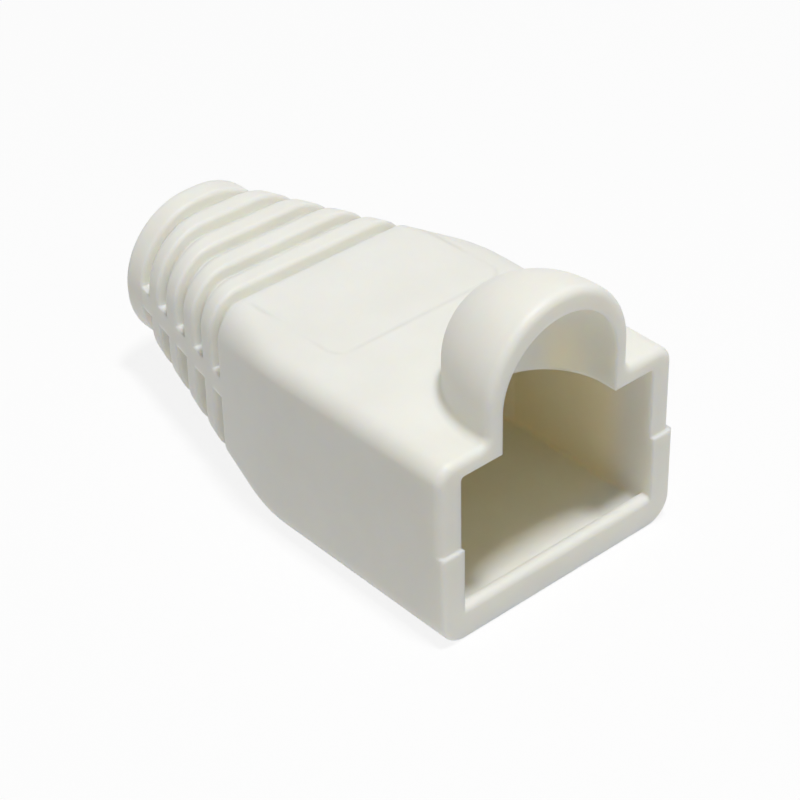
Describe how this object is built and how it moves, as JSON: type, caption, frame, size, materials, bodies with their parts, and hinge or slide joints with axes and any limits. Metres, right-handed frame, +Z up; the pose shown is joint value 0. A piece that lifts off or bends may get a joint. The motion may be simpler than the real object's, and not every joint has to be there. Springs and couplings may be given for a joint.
{
  "type": "rj45 strain relief boot",
  "caption": "One-piece soft PVC boot for an 8-position modular cable plug, with a latch hood, plug pocket and tapered grooved tail around the cable bore.",
  "frame": {"origin": "on the underside, mid-width, in the plane of the upper half of the mouth's rim", "axes": "+X across the boot, +Y from the mouth towards the cable end, +Z up; the mouth faces -Y"},
  "size_m": [0.0144, 0.0271, 0.0156],
  "materials": {
    "pvc": "satin, ivory white, soft moulded PVC"
  },
  "bodies": {
    "root": {"boot": "pvc"}
  },
  "joints": []
}
